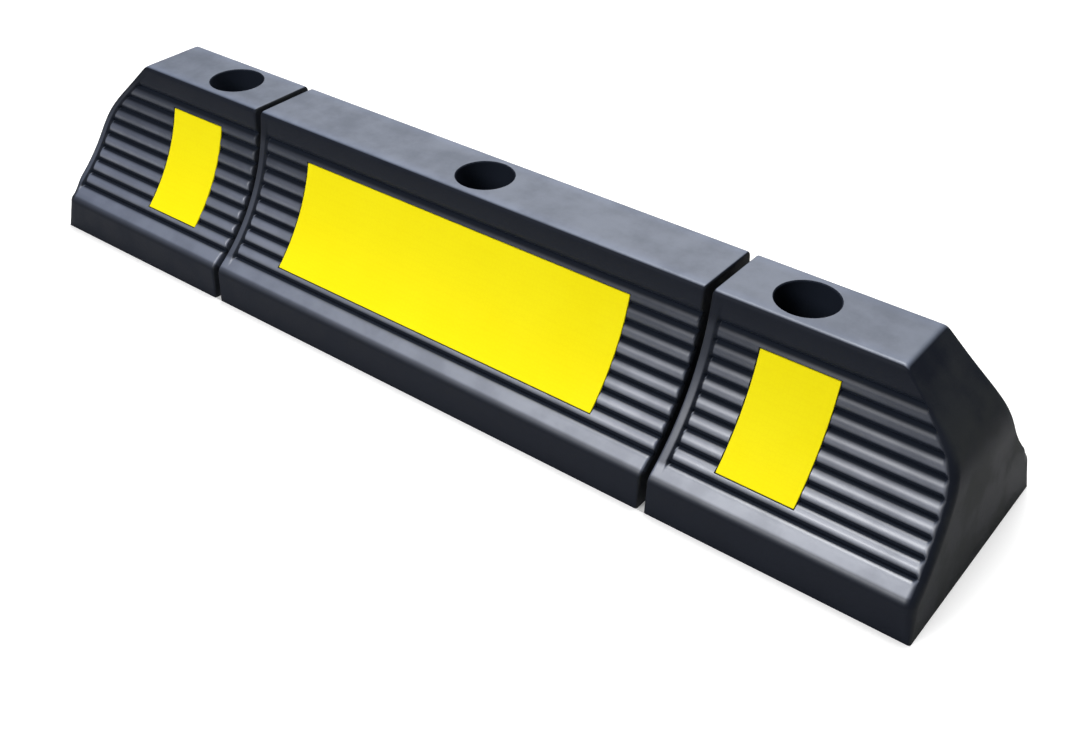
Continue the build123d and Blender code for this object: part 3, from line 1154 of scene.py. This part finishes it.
class WHEELSTOP_OT_panels(bpy.types.Operator):
    """Make the reflective panels"""

    bl_idname = "wheelstop.panels"
    bl_label = "Reflective panels"

    def execute(self, context):
        stop = context.scene.wheel_stop
        panels, section = stop.panels, Section(stop)
        places = {
            "left": (-panels.end_place, panels.end_length),
            "centre": (0.0, panels.centre_length),
            "right": (panels.end_place, panels.end_length),
        }
        for side, sign in SIDES.items():
            for place, (x, panel_length) in places.items():
                name = f"{side}_{place}_panel"
                made = link(name, bpy.data.meshes.new(name))
                shape_by(made, curved_panel, {
                    "Length": panel_length,
                    "Centre": x,
                    "Low": section.panel_low,
                    "High": section.panel_high,
                    "Face Radius": section.radius,
                    "Face Y": section.centre.x,
                    "Face Z": section.centre.y,
                    "Start Angle": section.start_angle,
                    "Depth": section.panel_face,
                    "Thickness": panels.thickness,
                    "Side": sign,
                    "Finish": finish_of(yellow_sheet),
                })
                bevel(
                    made, panels.edge, PANEL_EDGE_STEPS,
                    limit_method="ANGLE", angle_limit=PANEL_EDGE_ANGLE,
                )
                plain_mesh(made, PANEL_SMOOTH)
                dress(made, f"{side}_{place}_reflector")
        return {"FINISHED"}


def washer_row(nodes, given):
    """Sets a row of rings with rounded edges."""
    rim, hole, spacing = given.pick("Rim Radius", "Hole Radius", "Spacing")
    circle = {"Resolution": CIRCLE_POINTS, "Radius": (rim + hole) * 0.5}
    rail = nodes.geometry("CurvePrimitiveCircle", circle)
    box = {"Width": rim - hole, "Height": given["Thickness"]}
    profile = nodes.geometry("CurvePrimitiveQuadrilateral", box)
    rounded = {"Curve": profile, "Radius": given["Edge"], "Count": WASHER_EDGE_STEPS}
    profile = nodes.geometry("FilletCurve", rounded, mode="POLY")
    ring = nodes.geometry("CurveToMesh", {"Curve": rail, "Profile Curve": profile})
    start, step = nodes.join(-spacing, z=given["Height"]), nodes.join(spacing)
    row = nodes.geometry("MeshLine", {"Count": BOLT_COUNT, "Start Location": start, "Offset": step})
    rings = nodes.geometry("InstanceOnPoints", {"Points": row, "Instance": ring})
    return nodes.finished(rings, given)


class WHEELSTOP_OT_washers(bpy.types.Operator):
    """Make the washers on the floors of the bolt wells"""

    bl_idname = "wheelstop.washers"
    bl_label = "Washers"

    def execute(self, context):
        stop = context.scene.wheel_stop
        bolts = stop.bolts
        made = link("well_washers", bpy.data.meshes.new("well_washers"))
        shape_by(made, washer_row, {
            "Spacing": bolts.end_place,
            "Hole Radius": bolts.hole_diameter / 2,
            "Rim Radius": bolts.washer_diameter / 2,
            "Thickness": bolts.washer_thickness,
            "Edge": bolts.washer_edge,
            "Height": stop.body.overall_height - bolts.well_depth + bolts.washer_thickness / 2,
            "Finish": finish_of(zinc_plate),
        })
        plain_mesh(made, WASHER_SMOOTH)
        dress(made, "anchor_washers")
        return {"FINISHED"}


# Stage

# Soft lights: place, height on the stop's axis that they look at, size and power
SOFTBOXES = {
    "overhead_softbox": ((0.0, 0.35, 1.3), 0.05, (0.8, 0.6), 17.0),
    "front_softbox": ((-0.1, -1.2, 0.85), 0.05, (0.8, 0.6), 11.0),
    "high_softbox": ((-0.25, -0.55, 1.15), 0.05, (0.3, 0.3), 2.1),
    "back_softbox": ((-0.9, 1.3, 0.9), 0.08, (1.4, 0.8), 6.0),
}
WORLD_LIGHT = 0.025
FLOOR_REACH = 6.0
SENSOR_WIDTH = 36.0  # mm


def softbox(name, place, aim, size, power):
    """Rectangular soft light that looks at a height on the stop's axis."""
    lamp = bpy.data.lights.new(name, "AREA")
    lamp.shape = "RECTANGLE"
    lamp.size, lamp.size_y = size
    lamp.energy = power
    made = link(name, lamp)
    made.location = place
    view = Vector((0.0, 0.0, aim)) - Vector(place)
    made.rotation_euler = view.to_track_quat("-Z", "Y").to_euler()


class WHEELSTOP_OT_stage(bpy.types.Operator):
    """Make the floor, the lights, the world and the camera"""

    bl_idname = "wheelstop.stage"
    bl_label = "Stage"

    def execute(self, context):
        scene = context.scene
        view = scene.wheel_stop.camera
        floor_mesh = bpy.data.meshes.new("floor")
        square = ((-1, -1), (1, -1), (1, 1), (-1, 1))
        corners = [(x * FLOOR_REACH, y * FLOOR_REACH, 0) for x, y in square]
        floor_mesh.from_pydata(corners, [], [(0, 1, 2, 3)])
        floor_mesh.materials.append(finish_of(studio_floor))
        link("floor", floor_mesh)

        world = bpy.data.worlds.new("white_studio")
        scene.world = world
        world.use_nodes = True
        nodes = Nodes(world.node_tree)
        seen = nodes.add("ShaderNodeLightPath")["Is Camera Ray"]
        white = {"Color": rgba((1.0, 1.0, 1.0)), "Strength": seen.between(WORLD_LIGHT, 1.0)}
        nodes.fill(world.node_tree.nodes["Background"], white)
        for name, settings in SOFTBOXES.items():
            softbox(name, *settings)

        lens = bpy.data.cameras.new("camera")
        lens.sensor_width = SENSOR_WIDTH
        lens.lens = view.focal_length
        camera = link("camera", lens)
        camera.location = view.place
        camera.rotation_euler = view.turn
        scene.camera = camera
        scene.view_settings.view_transform = "Standard"
        return {"FINISHED"}


class WHEELSTOP_PT_panel(bpy.types.Panel):
    """Sizes, colours and operators of the wheel stop"""

    bl_idname = "WHEELSTOP_PT_panel"
    bl_label = "Wheel stop"
    bl_space_type = "VIEW_3D"
    bl_region_type = "UI"
    bl_category = "Wheel stop"

    def draw(self, context):
        layout = self.layout
        stop = context.scene.wheel_stop
        for operator in OPERATORS:
            layout.operator(operator.bl_idname)
        for name in stop.__annotations__:
            group = getattr(stop, name)
            box = layout.box()
            box.label(text=name.capitalize())
            for key in group.__annotations__:
                box.prop(group, key)


GROUPS = (
    StopBody, StopRibs, StopPanels, StopBolts, StopUnderside, StopFinish, StopCamera, WheelStop,
)
OPERATORS = (
    WHEELSTOP_OT_centre_module,
    WHEELSTOP_OT_end_modules,
    WHEELSTOP_OT_panels,
    WHEELSTOP_OT_washers,
    WHEELSTOP_OT_stage,
)
CLASSES = (*GROUPS, *OPERATORS, WHEELSTOP_PT_panel)


def register():
    for cls in CLASSES:
        bpy.utils.register_class(cls)
    bpy.types.Scene.wheel_stop = PointerProperty(type=WheelStop)


def unregister():
    del bpy.types.Scene.wheel_stop
    for cls in reversed(CLASSES):
        bpy.utils.unregister_class(cls)


def main():
    register()
    bpy.ops.wheelstop.centre_module()
    bpy.ops.wheelstop.end_modules()
    bpy.ops.wheelstop.panels()
    bpy.ops.wheelstop.washers()
    bpy.ops.wheelstop.stage()
    bpy.context.view_layer.update()


if __name__ == "__main__":
    main()
